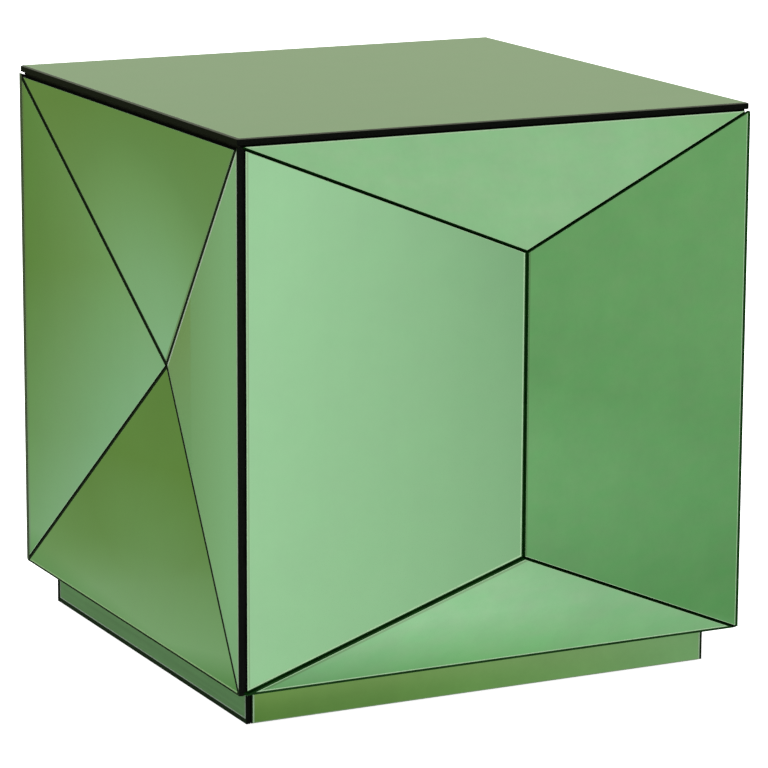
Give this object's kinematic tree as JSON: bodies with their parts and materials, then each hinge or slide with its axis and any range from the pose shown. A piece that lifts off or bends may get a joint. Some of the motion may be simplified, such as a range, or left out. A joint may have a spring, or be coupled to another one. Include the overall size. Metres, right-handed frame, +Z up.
{
  "type": "cube side table",
  "caption": "Cube side table clad in green mirror glass, with hipped front and back, recessed left and right sides, a flat glass top and a set-back mirrored plinth.",
  "frame": {"origin": "on the floor, under the middle of the table", "axes": "+Z up; the front, a hipped side, faces -Y; +X is to the right seen from the front"},
  "size_m": [0.4998, 0.5956, 0.52],
  "materials": {
    "top_glass": "polished",
    "green_mirror": "polished",
    "plinth_mirror": "polished",
    "black_board": "black lacquered fibreboard",
    "backer_board": "black-stained fibreboard",
    "raw_timber": "planed softwood",
    "brass": "machined",
    "zinc_screw": "zinc plated",
    "foot_steel": "zinc-plated stud moulded into a black nylon pad"
  },
  "bodies": {
    "table": {"top_mirror": "top_glass", "front_mirror_left": "green_mirror", "front_mirror_right": "green_mirror", "front_mirror_top": "green_mirror", "front_mirror_bottom": "green_mirror", "back_mirror_left": "green_mirror", "back_mirror_right": "green_mirror", "back_mirror_top": "green_mirror", "back_mirror_bottom": "green_mirror", "left_mirror_front": "green_mirror", "left_mirror_back": "green_mirror", "left_mirror_top": "green_mirror", "left_mirror_bottom": "green_mirror", "right_mirror_front": "green_mirror", "right_mirror_back": "green_mirror", "right_mirror_top": "green_mirror", "right_mirror_bottom": "green_mirror", "plinth_mirror_front": "plinth_mirror", "plinth_mirror_back": "plinth_mirror", "plinth_mirror_left": "plinth_mirror", "plinth_mirror_right": "plinth_mirror", "top_board": "black_board", "bottom_board": "black_board", "post_front_left": "black_board", "post_front_right": "black_board", "post_back_left": "black_board", "post_back_right": "black_board", "front_backer_left": "backer_board", "front_backer_right": "backer_board", "front_backer_top": "backer_board", "front_backer_bottom": "backer_board", "back_backer_left": "backer_board", "back_backer_right": "backer_board", "back_backer_top": "backer_board", "back_backer_bottom": "backer_board", "left_backer_front": "backer_board", "left_backer_back": "backer_board", "left_backer_top": "backer_board", "left_backer_bottom": "backer_board", "right_backer_front": "backer_board", "right_backer_back": "backer_board", "right_backer_top": "backer_board", "right_backer_bottom": "backer_board", "ridge_rib_front": "raw_timber", "ridge_rib_back": "raw_timber", "apex_socket_left": "raw_timber", "apex_socket_right": "raw_timber", "cross_brace": "raw_timber", "plinth_rail_front": "black_board", "plinth_rail_back": "black_board", "plinth_rail_left": "black_board", "plinth_rail_right": "black_board", "plinth_corner_blocks": "raw_timber", "foot_inserts": "brass", "block_screws": "zinc_screw", "post_screws": "zinc_screw"},
    "foot_front_left": {"foot_front_left": "foot_steel"},
    "foot_front_right": {"foot_front_right": "foot_steel"},
    "foot_back_left": {"foot_back_left": "foot_steel"},
    "foot_back_right": {"foot_back_right": "foot_steel"}
  },
  "joints": [
    {"name": "foot_front_left_wind", "type": "slide", "parent": "table", "child": "foot_front_left", "axis": [0, 0, -1], "range_m": [0, 0.008]},
    {"name": "foot_front_right_wind", "type": "slide", "parent": "table", "child": "foot_front_right", "axis": [0, 0, -1], "range_m": [0, 0.008]},
    {"name": "foot_back_left_wind", "type": "slide", "parent": "table", "child": "foot_back_left", "axis": [0, 0, -1], "range_m": [0, 0.008]},
    {"name": "foot_back_right_wind", "type": "slide", "parent": "table", "child": "foot_back_right", "axis": [0, 0, -1], "range_m": [0, 0.008]}
  ]
}
